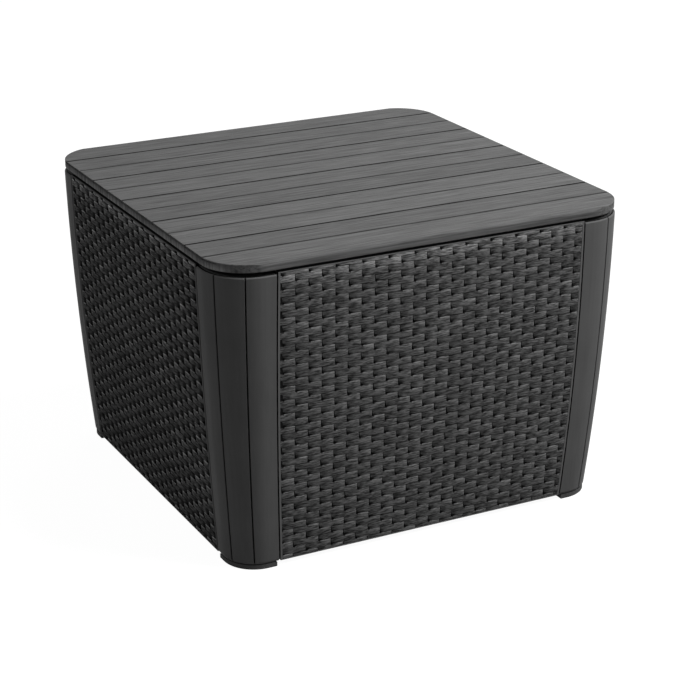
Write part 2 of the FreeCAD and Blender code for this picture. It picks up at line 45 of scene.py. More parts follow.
def add(tree, kind, inputs=None, **settings):
    node = tree.nodes.new(kind)
    for name, value in settings.items():
        setattr(node, name, value)
    for socket, value in (inputs or {}).items():
        if isinstance(value, bpy.types.NodeSocket):
            tree.links.new(value, node.inputs[socket])
        else:
            node.inputs[socket].default_value = value
    return node


# Moulded polypropylene: never quite even. The eye gets faint upright flow streaks from the mould's filling,
# cloudy patches about 70 mm across and a spark-eroded skin. That skin is some 0.3 mm fine and is drawn at
# 1.1 mm so that it shows.
cloud_size = 0.07
cloud_share = 0.6
streak_size = (0.004, 0.004, 0.25)
skin_grain = 0.0011
skin_depth = 0.0002
gloss_change = 0.05
resin_ior = 1.49


def moulded_polypropylene(name, dark, light, roughness, sheen, skin):
    material = bpy.data.materials.new(name)
    material.use_nodes = True
    tree = material.node_tree
    tree.nodes.clear()
    place = add(tree, "ShaderNodeTexCoord").outputs["Object"]
    clouds = add(tree, "ShaderNodeTexNoise", {"Vector": place, "Scale": 1 / cloud_size, "Detail": 3.0})
    clouds = add(tree, "ShaderNodeMath", {0: clouds.outputs["Fac"], 1: cloud_share}, operation="MULTIPLY")
    flow = add(tree, "ShaderNodeMapping", {"Vector": place, "Scale": [1 / size for size in streak_size]})
    streaks = add(tree, "ShaderNodeTexNoise", {"Vector": flow.outputs[0], "Scale": 1.0, "Detail": 2.0})
    mixed = add(tree, "ShaderNodeMath", {0: streaks.outputs["Fac"], 1: 1 - cloud_share, 2: clouds.outputs[0]},
                operation="MULTIPLY_ADD").outputs[0]
    tone = add(tree, "ShaderNodeMapRange", {"Value": mixed, "From Min": 0.32, "From Max": 0.68}).outputs[0]
    colour = add(tree, "ShaderNodeMix", {"Factor": tone, "A": linear(dark), "B": linear(light)},
                 data_type="RGBA").outputs["Result"]
    gloss = add(tree, "ShaderNodeMapRange", {"Value": mixed, "From Min": 0.3, "From Max": 0.7,
                                             "To Min": roughness + gloss_change,
                                             "To Max": roughness - gloss_change}).outputs[0]
    grit = add(tree, "ShaderNodeTexNoise", {"Vector": place, "Scale": 1 / skin_grain, "Detail": 2.0})
    bump = add(tree, "ShaderNodeBump", {"Height": grit.outputs["Fac"], "Strength": skin,
                                        "Distance": skin_depth})
    shader = add(tree, "ShaderNodeBsdfPrincipled", {"Base Color": colour, "Roughness": gloss,
                                                    "Normal": bump.outputs[0], "IOR": resin_ior,
                                                    "Specular IOR Level": sheen})
    add(tree, "ShaderNodeOutputMaterial", {"Surface": shader.outputs[0]})
    return material


def finish_nodes(material, *names):
    for name in names:
        for slot in nodes[name].material_slots:
            slot.material = material


foot_resin = moulded_polypropylene("foot_polypropylene", "#505050", "#565656", 0.6, 0.02, 0.25)
finish_nodes(foot_resin, *["foot_" + corner for corner in corners])


# Corner posts: hollow mouldings that stand on the feet, two upright grooves dividing each into three strips.
# Moulded polypropylene in dark grey, dull, with painted shade that makes it near black in the grooves and
# beside the panels, where little light gets in.
side_top = 0.406
side_bottom = 0.008
side_half = 0.295
side_lean = 0.023
side_bow = 0.0035
corner_top = 0.060
corner_change = 0.015
post_rim = (0.0004, 0.0010)
post_back = (0.0030, 0.0036)
post_shade = 0.08
# Heights from which and to which the bevel and the heel of a post are cut back, and how far
post_bevel = (0.4020, 0.4035, 0.0012)
post_heel = (0.0110, 0.0080, 0.0015)


# How far down its side a height lies, from 0 to 1, and how far lean and bow set the side back there
def side_inset(tree, height):
    down = add(tree, "ShaderNodeMapRange", {"Value": height, "From Min": side_top, "From Max": side_bottom})
    slope = add(tree, "ShaderNodeMath", {0: down.outputs[0], 1: 4 * side_bow, 2: side_lean - 4 * side_bow},
                operation="MULTIPLY_ADD").outputs[0]
    inset = add(tree, "ShaderNodeMath", {0: slope, 1: down.outputs[0]}, operation="MULTIPLY").outputs[0]
    return down.outputs[0], inset


# Paints shade into a moulding's colour from just below its outer face to just before its inner face
def shade_hollows(material, depth, rim, back, dark):
    tree = material.node_tree
    base = tree.nodes["Principled BSDF"].inputs["Base Color"]
    outer = add(tree, "ShaderNodeMapRange", {"Value": depth, "From Min": rim[0], "From Max": rim[1],
                                             "To Min": 1.0, "To Max": dark}).outputs[0]
    inner = add(tree, "ShaderNodeMapRange", {"Value": depth, "From Min": back[0], "From Max": back[1]})
    shade = add(tree, "ShaderNodeMath", {0: outer, 1: inner.outputs[0]}, operation="MAXIMUM").outputs[0]
    plain = base.links[0].from_socket
    colour = add(tree, "ShaderNodeVectorMath", {0: plain, "Scale": shade}, operation="SCALE").outputs[0]
    tree.links.new(colour, base)


post_resin = moulded_polypropylene("post_polypropylene", "#595959", "#606060", 0.42, 0.008, 0.12)
tree = post_resin.node_tree
spot = add(tree, "ShaderNodeSeparateXYZ", {0: add(tree, "ShaderNodeTexCoord").outputs["Object"]}).outputs
down, inset = side_inset(tree, spot[2])
radius = add(tree, "ShaderNodeMath", {0: down, 1: -corner_change, 2: corner_top},
             operation="MULTIPLY_ADD").outputs[0]
centre = add(tree, "ShaderNodeMath", {0: side_half, 1: inset}, operation="SUBTRACT").outputs[0]
centre = add(tree, "ShaderNodeMath", {0: centre, 1: radius}, operation="SUBTRACT").outputs[0]
beyond = []
for axis in (0, 1):
    aside = add(tree, "ShaderNodeMath", {0: spot[axis]}, operation="ABSOLUTE").outputs[0]
    aside = add(tree, "ShaderNodeMath", {0: aside, 1: centre}, operation="SUBTRACT").outputs[0]
    beyond.append(add(tree, "ShaderNodeMath", {0: aside, 1: 0.0}, operation="MAXIMUM").outputs[0])
beyond = add(tree, "ShaderNodeCombineXYZ", {0: beyond[0], 1: beyond[1]}).outputs[0]
beyond = add(tree, "ShaderNodeVectorMath", {0: beyond}, operation="LENGTH").outputs["Value"]
depth = add(tree, "ShaderNodeMath", {0: radius, 1: beyond}, operation="SUBTRACT").outputs[0]
for start, end, trim in (post_bevel, post_heel):
    cut = add(tree, "ShaderNodeMapRange", {"Value": spot[2], "From Min": start, "From Max": end,
                                           "To Max": trim})
    depth = add(tree, "ShaderNodeMath", {0: depth, 1: cut.outputs[0]}, operation="SUBTRACT").outputs[0]
# Painted shade: darker in the grooves and on the faces beside the panels
shade_hollows(post_resin, depth, post_rim, post_back, post_shade)
finish_nodes(post_resin, *["corner_post_" + corner for corner in corners])


# Side panels: one moulding each, held by its tongues between post and inner cover. Each leans in by 23 mm
# from top to bottom and bows out by 3.5 mm between. Moulded polypropylene, duller than the posts, with
# painted shade that makes it near black in the slots between the upright strands.
panel_rim = (0.0005, 0.0010)
panel_back = (0.0046, 0.0054)
panel_shade = 0.1
# The panel's grey is lighter than the posts' so that the thin rims beside the weave show a light edge: a
# painted highlight.
panel_resin = moulded_polypropylene("panel_polypropylene", "#646464", "#6c6c6c", 0.5, 0.0, 0.25)
tree = panel_resin.node_tree
spot = add(tree, "ShaderNodeSeparateXYZ", {0: add(tree, "ShaderNodeTexCoord").outputs["Object"]}).outputs
reach = [add(tree, "ShaderNodeMath", {0: spot[axis]}, operation="ABSOLUTE").outputs[0] for axis in (0, 1)]
reach = add(tree, "ShaderNodeMath", {0: reach[0], 1: reach[1]}, operation="MAXIMUM").outputs[0]
inset = side_inset(tree, spot[2])[1]
depth = add(tree, "ShaderNodeMath", {0: inset, 1: reach}, operation="ADD").outputs[0]
depth = add(tree, "ShaderNodeMath", {0: side_half, 1: depth}, operation="SUBTRACT").outputs[0]
# Painted shade: near black in the slots and on the edges beside the posts
shade_hollows(panel_resin, depth, panel_rim, panel_back, panel_shade)
finish_nodes(panel_resin, "front_panel", "back_panel", "left_panel", "right_panel")


# Weave on the panels: flat strands in rows, each coming up from behind an upright strand and passing over the
# next. Cast with the panel in polypropylene; every strand has fine lengthwise ribs like split cane.
weave_cell = 0.0183
weave_row = 0.0092
weave_columns = 25
weave_rows = 44
weave_line = 0.4005
weave_shift = 0.0052
weave_root = 0.0030
strand_sizes = {"Length": 0.0354, "Width": 0.0091, "Crest": 0.0001, "Rise": 0.0008, "End drop": 0.0006,
                "Edge drop": 0.0004, "Slant": 0.0008}

# A strand is two cells long: a box whose top rises from its sunk start to the crest, rounded along both
# edges. Way is 1 where it rises to the right and -1 where it rises to the left. Its corners crowd to the ends
# and the edges, where the shape turns.
crowding = 0.4
rise_end = 0.1
start_flatness = 0.75
end_power = 6.0
edge_power = 4.0
strand = bpy.data.node_groups.new("strand", "GeometryNodeTree")
for name in (*strand_sizes, "Root", "Way"):
    strand.interface.new_socket(name, in_out="INPUT", socket_type="NodeSocketFloat")
strand.interface.new_socket("Strand", in_out="OUTPUT", socket_type="NodeSocketGeometry")
sizes = add(strand, "NodeGroupInput").outputs
blank = add(strand, "GeometryNodeMeshCube", {"Size": (2, 2, 2), "Vertices X": 7, "Vertices Y": 5,
                                             "Vertices Z": 2})
spot = add(strand, "ShaderNodeSeparateXYZ", {0: add(strand, "GeometryNodeInputPosition").outputs[0]}).outputs
reach = []
for axis in (0, 1):
    square = add(strand, "ShaderNodeMath", {0: spot[axis], 1: spot[axis]}, operation="MULTIPLY").outputs[0]
    widen = add(strand, "ShaderNodeMath", {0: square, 1: -crowding, 2: 1 + crowding},
                operation="MULTIPLY_ADD").outputs[0]
    reach.append(add(strand, "ShaderNodeMath", {0: spot[axis], 1: widen}, operation="MULTIPLY").outputs[0])
forth = add(strand, "ShaderNodeMath", {0: reach[0], 1: sizes["Way"]}, operation="MULTIPLY").outputs[0]
sunk = add(strand, "ShaderNodeMapRange", {"Value": forth, "From Min": -1.0, "From Max": rise_end,
                                          "To Min": 1.0, "To Max": 0.0}).outputs[0]
depth = add(strand, "ShaderNodeMath", {0: sunk, 1: sizes["Rise"], 2: sizes["Crest"]},
            operation="MULTIPLY_ADD").outputs[0]
flatter = add(strand, "ShaderNodeMath", {0: sunk, 1: -start_flatness, 2: 1.0},
              operation="MULTIPLY_ADD").outputs[0]
rounding = add(strand, "ShaderNodeMath", {0: sizes["Edge drop"], 1: flatter}, operation="MULTIPLY").outputs[0]
ahead = add(strand, "ShaderNodeMath", {0: forth, 1: 0.0}, operation="MAXIMUM").outputs[0]
aside = add(strand, "ShaderNodeMath", {0: reach[1]}, operation="ABSOLUTE").outputs[0]
for part, power, drop in ((ahead, end_power, sizes["End drop"]), (aside, edge_power, rounding)):
    curve = add(strand, "ShaderNodeMath", {0: part, 1: power}, operation="POWER").outputs[0]
    depth = add(strand, "ShaderNodeMath", {0: curve, 1: drop, 2: depth}, operation="MULTIPLY_ADD").outputs[0]
upper = add(strand, "FunctionNodeCompare", {"A": spot[2], "B": 0.0}, operation="GREATER_THAN").outputs[0]
level = add(strand, "GeometryNodeSwitch", {"Switch": upper, "False": sizes["Root"], "True": depth},
            input_type="FLOAT").outputs[0]
height = add(strand, "ShaderNodeMath", {0: level, 1: -1.0}, operation="MULTIPLY").outputs[0]
half = []
for part, name in zip(reach, ("Length", "Width")):
    full = add(strand, "ShaderNodeMath", {0: part, 1: sizes[name]}, operation="MULTIPLY").outputs[0]
    half.append(add(strand, "ShaderNodeMath", {0: full, 1: 0.5}, operation="MULTIPLY").outputs[0])
slant = add(strand, "ShaderNodeMath", {0: sizes["Slant"], 1: sunk}, operation="MULTIPLY").outputs[0]
slant = add(strand, "ShaderNodeMath", {0: slant, 1: reach[1]}, operation="MULTIPLY").outputs[0]
slant = add(strand, "ShaderNodeMath", {0: slant, 1: sizes["Way"]}, operation="MULTIPLY").outputs[0]
start = add(strand, "ShaderNodeMath", {0: half[0], 1: slant}, operation="SUBTRACT").outputs[0]
shaped = add(strand, "ShaderNodeCombineXYZ", {0: start, 1: half[1], 2: height}).outputs[0]
body = add(strand, "GeometryNodeSetPosition", {"Geometry": blank.outputs["Mesh"],
                                               "Position": shaped}).outputs[0]

# The attribute strand tells the material where on a strand a spot lies: along it towards its crest, across
# it, and how high
spot = add(strand, "ShaderNodeSeparateXYZ", {0: add(strand, "GeometryNodeInputPosition").outputs[0]}).outputs
forth = add(strand, "ShaderNodeMath", {0: spot[0], 1: sizes["Way"]}, operation="MULTIPLY").outputs[0]
lie = add(strand, "ShaderNodeCombineXYZ", {0: forth, 1: spot[1], 2: spot[2]}).outputs[0]
body = add(strand, "GeometryNodeStoreNamedAttribute", {"Geometry": body, "Name": "strand", "Value": lie},
           data_type="FLOAT_VECTOR", domain="POINT").outputs[0]
add(strand, "NodeGroupOutput", {"Strand": body})

# Moulded polypropylene weave: the eye gets lengthwise ribs about 1.5 mm apart and strands that differ a
# little in shade. Painted shade makes the hollows near black where a strand comes up from behind its
# neighbours, and a painted highlight lightens the upper edge of the crest. A per-side attribute sets how
# strongly both show.
rib_size = (0.010, 0.0015, 1.0)
rib_depth = 0.0006
rib_shift = (37.0, 11.0, 5.0)
start_hole = ((-0.0166, -0.0046, 0.0), 0.0015, 0.0054)
corner_hole = ((0.0012, 0.0048, 0.0), 0.0004, 0.0020)
hole_shade = 0.06
start_shade = 0.62
edge_shade = 0.5
wall_shade = 0.1
upper_highlight_gain = 0.4
crest_highlight = (0.95, 1.18)
weave_resin = bpy.data.materials.new("weave_polypropylene")
weave_resin.use_nodes = True
tree = weave_resin.node_tree
tree.nodes.clear()
lie = add(tree, "ShaderNodeAttribute", attribute_name="strand").outputs["Vector"]
shade = add(tree, "ShaderNodeAttribute", attribute_name="shade").outputs["Fac"]
painted_light_strength = add(tree, "ShaderNodeAttribute", attribute_name="painted_light_strength").outputs["Fac"]
forth, across, height = add(tree, "ShaderNodeSeparateXYZ", {0: lie}).outputs
shift = add(tree, "ShaderNodeVectorMath", {0: rib_shift, "Scale": shade}, operation="SCALE").outputs[0]
place = add(tree, "ShaderNodeVectorMath", {0: lie, 1: shift}, operation="ADD").outputs[0]
ribs = add(tree, "ShaderNodeMapping", {"Vector": place, "Scale": [1 / size for size in rib_size]}).outputs[0]
ribs = add(tree, "ShaderNodeTexNoise", {"Vector": ribs, "Scale": 1.0, "Detail": 3.0, "Roughness": 0.6})
ribs = ribs.outputs["Fac"]
tone = add(tree, "ShaderNodeMapRange", {"Value": ribs, "From Min": 0.36, "From Max": 0.64}).outputs[0]
colour = add(tree, "ShaderNodeMix", {"Factor": tone, "A": linear("#323232"), "B": linear("#747474")},
             data_type="RGBA").outputs["Result"]
raised = add(tree, "ShaderNodeMapRange", {"Value": forth, "From Min": -0.003, "From Max": 0.003}).outputs[0]
flat = add(tree, "ShaderNodeCombineXYZ", {0: forth, 1: across}).outputs[0]
# Painted shade: the walls deeper than 1.6 mm, the holes where strands meet, the sunk start and the long edges
painted_light_and_shade = add(tree, "ShaderNodeMapRange", {"Value": height, "From Min": -0.0024, "From Max": -0.0016,
                                          "To Min": wall_shade}).outputs[0]
parts = []
for middle, dark, light in (start_hole, corner_hole):
    away = add(tree, "ShaderNodeVectorMath", {0: flat, 1: middle}, operation="DISTANCE").outputs["Value"]
    parts.append(add(tree, "ShaderNodeMapRange", {"Value": away, "From Min": dark, "From Max": light,
                                                  "To Min": hole_shade}).outputs[0])
parts.append(add(tree, "ShaderNodeMapRange", {"Value": forth, "From Min": -0.0125, "From Max": -0.0060,
                                              "To Min": start_shade}).outputs[0])
aside = add(tree, "ShaderNodeMath", {0: across}, operation="ABSOLUTE").outputs[0]
edge = add(tree, "ShaderNodeMapRange", {"Value": aside, "From Min": 0.0036, "From Max": 0.0046,
                                        "To Min": 1.0, "To Max": edge_shade}).outputs[0]
upper = add(tree, "ShaderNodeMapRange", {"Value": across, "From Min": -0.001, "From Max": 0.001}).outputs[0]
upper = add(tree, "ShaderNodeMath", {0: upper, 1: raised}, operation="MULTIPLY").outputs[0]
parts.append(add(tree, "ShaderNodeMath", {0: edge, 1: upper}, operation="MAXIMUM").outputs[0])
# Painted highlight along the upper edge of the raised half of a strand
upper_highlight = add(tree, "ShaderNodeMapRange", {"Value": across, "From Min": 0.0026, "From Max": 0.0040,
                                       "To Max": upper_highlight_gain}).outputs[0]
parts.append(add(tree, "ShaderNodeMath", {0: upper_highlight, 1: raised, 2: 1.0}, operation="MULTIPLY_ADD").outputs[0])
# Painted highlight, stronger towards the end of the crest
parts.append(add(tree, "ShaderNodeMapRange", {"Value": forth, "From Min": 0.006, "From Max": 0.016,
                                              "To Min": crest_highlight[0], "To Max": crest_highlight[1]}).outputs[0])
for part in parts:
    painted_light_and_shade = add(tree, "ShaderNodeMath", {0: painted_light_and_shade, 1: part}, operation="MULTIPLY").outputs[0]
# The painted shade and highlights are raised to a power that is larger on the left and the right
painted_light_and_shade = add(tree, "ShaderNodeMath", {0: painted_light_and_shade, 1: painted_light_strength}, operation="POWER").outputs[0]
shade = add(tree, "ShaderNodeMath", {0: shade, 1: painted_light_and_shade}, operation="MULTIPLY").outputs[0]
colour = add(tree, "ShaderNodeVectorMath", {0: colour, "Scale": shade}, operation="SCALE").outputs[0]
gloss = add(tree, "ShaderNodeMapRange", {"Value": ribs, "From Min": 0.3, "From Max": 0.7,
                                         "To Min": 0.55, "To Max": 0.42}).outputs[0]
bump = add(tree, "ShaderNodeBump", {"Height": ribs, "Strength": 0.8, "Distance": rib_depth}).outputs[0]
shader = add(tree, "ShaderNodeBsdfPrincipled", {"Base Color": colour, "Roughness": gloss, "Normal": bump,
                                                "IOR": resin_ior, "Specular IOR Level": 0.0})
add(tree, "ShaderNodeOutputMaterial", {"Surface": shader.outputs[0]})

# The weave: strands on a grid of cells, laid flat first, then cut to the field between the rims, bent to the
# panel's lean and bow, and turned to its side of the table
panel_edge = 0.0012
top_field = 0.2164
strand_closing = 0.015
edge_room = 0.8
hinge_frame_half = 0.0366
hinge_frame_rows = 1.5
least_show = 0.002
tilt_limit = Vector((0.012, 0.006, 0.012))
swell_range = ((0.985, 0.96, 0.9), (1.005, 1.02, 1.0))
tint_range = (0.86, 1.14)
top_row_highlight_zone = (0.385, 0.405)
top_row_highlight_gain = 2.3
sharp_fold = math.radians(40)
weave = bpy.data.node_groups.new("weave", "GeometryNodeTree")
for name, kind in (("Columns", "Int"), ("Rows", "Int"), ("Cell", "Float"), ("Row", "Float"),
                   ("Line", "Float"), ("Shift", "Float"), ("Way", "Float"), ("Root", "Float"),
                   ("Turn", "Float"), ("Hinge offset", "Float"), ("Painted light strength", "Float")):
    weave.interface.new_socket(name, in_out="INPUT", socket_type="NodeSocket" + kind)
weave.interface.new_socket("Weave", in_out="OUTPUT", socket_type="NodeSocketGeometry")
sizes = add(weave, "NodeGroupInput").outputs
spans = []
for count, step in (("Columns", "Cell"), ("Rows", "Row")):
    less = add(weave, "ShaderNodeMath", {0: sizes[count], 1: 1.0}, operation="SUBTRACT").outputs[0]
    spans.append(add(weave, "ShaderNodeMath", {0: less, 1: sizes[step]}, operation="MULTIPLY").outputs[0])
grid = add(weave, "GeometryNodeMeshGrid", {"Size X": spans[0], "Size Y": spans[1],
                                           "Vertices X": sizes["Columns"],
                                           "Vertices Y": sizes["Rows"]}).outputs["Mesh"]
first = add(weave, "ShaderNodeMath", {0: sizes["Row"], 1: 0.5, 2: sizes["Line"]},
            operation="MULTIPLY_ADD").outputs[0]
middle = add(weave, "ShaderNodeMath", {0: spans[1], 1: -0.5, 2: first}, operation="MULTIPLY_ADD").outputs[0]
middle = add(weave, "ShaderNodeCombineXYZ", {1: middle}).outputs[0]
cells = add(weave, "GeometryNodeSetPosition", {"Geometry": grid, "Offset": middle}).outputs[0]

# Where a spot of the flat weave comes to lie on the panel, and how far the field reaches at its height
spot = add(weave, "ShaderNodeSeparateXYZ", {0: add(weave, "GeometryNodeInputPosition").outputs[0]}).outputs
rise = add(weave, "ShaderNodeClamp", {"Value": spot[1], "Min": side_bottom + panel_edge,
                                      "Max": side_top - panel_edge}).outputs[0]
down, inset = side_inset(weave, rise)
field = add(weave, "ShaderNodeMath", {0: down, 1: corner_change, 2: top_field},
            operation="MULTIPLY_ADD").outputs[0]
field = add(weave, "ShaderNodeMath", {0: field, 1: inset}, operation="SUBTRACT").outputs[0]
closing = add(weave, "ShaderNodeMath", {0: down, 1: -strand_closing, 2: 1.0},
              operation="MULTIPLY_ADD").outputs[0]
along = add(weave, "ShaderNodeMath", {0: spot[0], 1: closing, 2: sizes["Shift"]},
            operation="MULTIPLY_ADD").outputs[0]

# Strands start in every second cell of a row, one cell further on in the next row, and only where the field
# has room
column = add(weave, "ShaderNodeMath", {0: spot[0], 1: sizes["Cell"]}, operation="DIVIDE").outputs[0]
row = add(weave, "ShaderNodeMath", {0: first, 1: spot[1]}, operation="SUBTRACT").outputs[0]
row = add(weave, "ShaderNodeMath", {0: row, 1: sizes["Row"]}, operation="DIVIDE").outputs[0]
count = add(weave, "ShaderNodeMath", {0: column, 1: row}, operation="ADD").outputs[0]
count = add(weave, "ShaderNodeMath", {0: sizes["Way"], 1: 0.5, 2: count}, operation="MULTIPLY_ADD").outputs[0]
odd = add(weave, "ShaderNodeMath", {0: count, 1: 2.0}, operation="FLOORED_MODULO").outputs[0]
chosen = add(weave, "FunctionNodeCompare", {"A": odd, "B": 1.0}, operation="GREATER_THAN").outputs[0]
aside = add(weave, "ShaderNodeMath", {0: along}, operation="ABSOLUTE").outputs[0]
room = add(weave, "ShaderNodeMath", {0: sizes["Cell"], 1: edge_room, 2: field},
           operation="MULTIPLY_ADD").outputs[0]
inside = add(weave, "FunctionNodeCompare", {"A": aside, "B": room}, operation="LESS_THAN").outputs[0]
chosen = add(weave, "FunctionNodeBooleanMath", {0: chosen, 1: inside}, operation="AND").outputs[0]

# The first two rows stop at the plain frames round the hinge notches of the back panel. A strand that would
# show less than 2 mm beside a frame is left out.
least_apart = hinge_frame_half - strand_sizes["Length"] / 2 + least_show
past = add(weave, "ShaderNodeMath", {0: aside, 1: sizes["Hinge offset"]}, operation="SUBTRACT").outputs[0]
apart = add(weave, "ShaderNodeMath", {0: past}, operation="ABSOLUTE").outputs[0]
beside = add(weave, "FunctionNodeCompare", {"A": apart, "B": least_apart},
             operation="GREATER_THAN").outputs[0]
below = add(weave, "FunctionNodeCompare", {"A": row, "B": hinge_frame_rows},
            operation="GREATER_THAN").outputs[0]
free = add(weave, "FunctionNodeBooleanMath", {0: beside, 1: below}, operation="OR").outputs[0]
chosen = add(weave, "FunctionNodeBooleanMath", {0: chosen, 1: free}, operation="AND").outputs[0]
stop = add(weave, "ShaderNodeMath", {0: row, 1: hinge_frame_rows}, operation="LESS_THAN").outputs[0]
stop = add(weave, "ShaderNodeMath", {0: stop, 1: hinge_frame_half}, operation="MULTIPLY").outputs[0]

# Every strand lies a little askew, swells a little and has its own shade; the upper rows get a painted
# highlight
piece = add(weave, "GeometryNodeGroup", {"Root": sizes["Root"], "Way": sizes["Way"]}, node_tree=strand)
for name, value in strand_sizes.items():
    piece.inputs[name].default_value = value
tilt = add(weave, "FunctionNodeRandomValue", {"Min": -tilt_limit, "Max": tilt_limit, "Seed": 1},
           data_type="FLOAT_VECTOR").outputs[0]
swell = add(weave, "FunctionNodeRandomValue", {"Min": swell_range[0], "Max": swell_range[1], "Seed": 11},
            data_type="FLOAT_VECTOR").outputs[0]
laid = add(weave, "GeometryNodeInstanceOnPoints", {"Points": cells, "Selection": chosen,
                                                   "Instance": piece.outputs[0], "Rotation": tilt,
                                                   "Scale": swell}).outputs[0]
tint = add(weave, "FunctionNodeRandomValue", {"Min": tint_range[0], "Max": tint_range[1],
                                              "Seed": 21}).outputs[1]
# Painted highlight on the top rows
top_row_highlight = add(weave, "ShaderNodeMapRange", {"Value": spot[1], "From Min": top_row_highlight_zone[0],
                                           "From Max": top_row_highlight_zone[1], "To Min": 1.0,
                                           "To Max": top_row_highlight_gain}).outputs[0]
tint = add(weave, "ShaderNodeMath", {0: tint, 1: top_row_highlight}, operation="MULTIPLY").outputs[0]
for name, value in (("shade", tint), ("painted_light_strength", sizes["Painted light strength"]), ("stop", stop)):
    laid = add(weave, "GeometryNodeStoreNamedAttribute", {"Geometry": laid, "Name": name, "Value": value},
               data_type="FLOAT", domain="INSTANCE").outputs[0]
flat = add(weave, "GeometryNodeRealizeInstances", {"Geometry": laid}).outputs[0]
stop = add(weave, "GeometryNodeInputNamedAttribute", {"Name": "stop"}, data_type="FLOAT").outputs["Attribute"]
apart = add(weave, "ShaderNodeMath", {0: apart, 1: stop}, operation="MAXIMUM").outputs[0]
hand = add(weave, "ShaderNodeMath", {0: past}, operation="SIGN").outputs[0]
past = add(weave, "ShaderNodeMath", {0: hand, 1: apart, 2: sizes["Hinge offset"]},
           operation="MULTIPLY_ADD").outputs[0]
hand = add(weave, "ShaderNodeMath", {0: along}, operation="SIGN").outputs[0]
along = add(weave, "ShaderNodeMath", {0: hand, 1: past}, operation="MULTIPLY").outputs[0]
other = add(weave, "ShaderNodeMath", {0: field, 1: -1.0}, operation="MULTIPLY").outputs[0]
along = add(weave, "ShaderNodeClamp", {"Value": along, "Min": other, "Max": field}).outputs[0]
out = add(weave, "ShaderNodeMath", {0: inset, 1: spot[2]}, operation="SUBTRACT").outputs[0]
out = add(weave, "ShaderNodeMath", {0: out, 1: side_half}, operation="SUBTRACT").outputs[0]
bent = add(weave, "ShaderNodeCombineXYZ", {0: along, 1: out, 2: rise}).outputs[0]
bent = add(weave, "ShaderNodeVectorRotate", {"Vector": bent, "Angle": sizes["Turn"]},
           rotation_type="Z_AXIS").outputs[0]
bent = add(weave, "GeometryNodeSetPosition", {"Geometry": flat, "Position": bent}).outputs[0]
bent = add(weave, "GeometryNodeSetShadeSmooth", {"Geometry": bent}).outputs[0]
fold = add(weave, "GeometryNodeInputMeshEdgeAngle").outputs["Unsigned Angle"]
fold = add(weave, "FunctionNodeCompare", {"A": fold, "B": sharp_fold}, operation="GREATER_THAN").outputs[0]
bent = add(weave, "GeometryNodeSetShadeSmooth", {"Geometry": bent, "Selection": fold, "Shade Smooth": False},
           domain="EDGE").outputs[0]
bent = add(weave, "GeometryNodeSetMaterial", {"Geometry": bent, "Material": weave_resin}).outputs[0]
add(weave, "NodeGroupOutput", {"Weave": bent})


def grown(name, tree, values):
    piece = bpy.data.objects.new(name, bpy.data.meshes.new(name))
    bpy.context.scene.collection.objects.link(piece)
    modifier = piece.modifiers.new(name, "NODES")
    modifier.node_group = tree
    for socket in tree.interface.items_tree:
        if socket.in_out == "INPUT":
            modifier[socket.identifier] = values[socket.name]
    graph = bpy.context.evaluated_depsgraph_get()
    ready = piece.evaluated_get(graph)
    plain = bpy.data.meshes.new_from_object(ready, preserve_all_data_layers=True, depsgraph=graph)
    piece.modifiers.clear()
    piece.data = plain
    return piece


# The back has its hinges 146.3 mm from the middle; on the other sides the offset lies beyond the panel, so
# that no strand stops short. The painted shade and highlights of the weave are stronger on the left and the
# right.
hinge_offset = 0.1463
no_hinge = 1.0
plain_painted_light_strength = 1.0
deep_painted_light_strength = 2.6
for side, turn, way, offset, painted_light_strength in (("front", 0, 1, no_hinge, plain_painted_light_strength),
                                        ("right", 90, -1, no_hinge, deep_painted_light_strength),
                                        ("back", 180, 1, hinge_offset, plain_painted_light_strength),
                                        ("left", 270, -1, no_hinge, deep_painted_light_strength)):
    piece = grown(side + "_weave", weave, {"Columns": weave_columns, "Rows": weave_rows, "Cell": weave_cell,
                                           "Row": weave_row, "Line": weave_line, "Shift": way * weave_shift,
                                           "Way": way, "Root": weave_root, "Turn": math.radians(turn),
                                           "Hinge offset": offset, "Painted light strength": painted_light_strength})
    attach(piece, "cabinet")


# Inner covers and floor: plates inside the box. The covers close the posts and trap the panel edges, the
# floor lies on the ledges of the panels. Moulded polypropylene straight from the tool, darker than outside.
inner_resin = moulded_polypropylene("inner_polypropylene", "#313131", "#383838", 0.55, 0.03, 0.3)
finish_nodes(inner_resin, "floor_panel", *["inner_cover_" + corner for corner in corners])


# Screws and hinge pins: pan-head screws driven into bosses, and plain pins with one head.
# Zinc-plated steel: bright grey metal with a cloudy bloom of some 3 mm and fine turning marks.
bloom_size = 0.003
mark_size = 0.0004
mark_depth = 0.0001
zinc = bpy.data.materials.new("zinc_plated_steel")
zinc.use_nodes = True
tree = zinc.node_tree
tree.nodes.clear()
place = add(tree, "ShaderNodeTexCoord").outputs["Object"]
bloom = add(tree, "ShaderNodeTexNoise", {"Vector": place, "Scale": 1 / bloom_size,
                                         "Detail": 3.0}).outputs["Fac"]
colour = add(tree, "ShaderNodeMix", {"Factor": bloom, "A": linear("#9a9a98"), "B": linear("#c2c1bd")},
             data_type="RGBA").outputs["Result"]
gloss = add(tree, "ShaderNodeMapRange", {"Value": bloom, "To Min": 0.28, "To Max": 0.48}).outputs[0]
marks = add(tree, "ShaderNodeTexNoise", {"Vector": place, "Scale": 1 / mark_size,
                                         "Detail": 1.0}).outputs["Fac"]
bump = add(tree, "ShaderNodeBump", {"Height": marks, "Strength": 0.15, "Distance": mark_depth}).outputs[0]
shader = add(tree, "ShaderNodeBsdfPrincipled", {"Base Color": colour, "Metallic": 1.0, "Roughness": gloss,
                                                "Normal": bump})
add(tree, "ShaderNodeOutputMaterial", {"Surface": shader.outputs[0]})
finish_nodes(zinc, "post_screws", "bracket_screws", "leaf_screws", "hinge_pin_left", "hinge_pin_right")


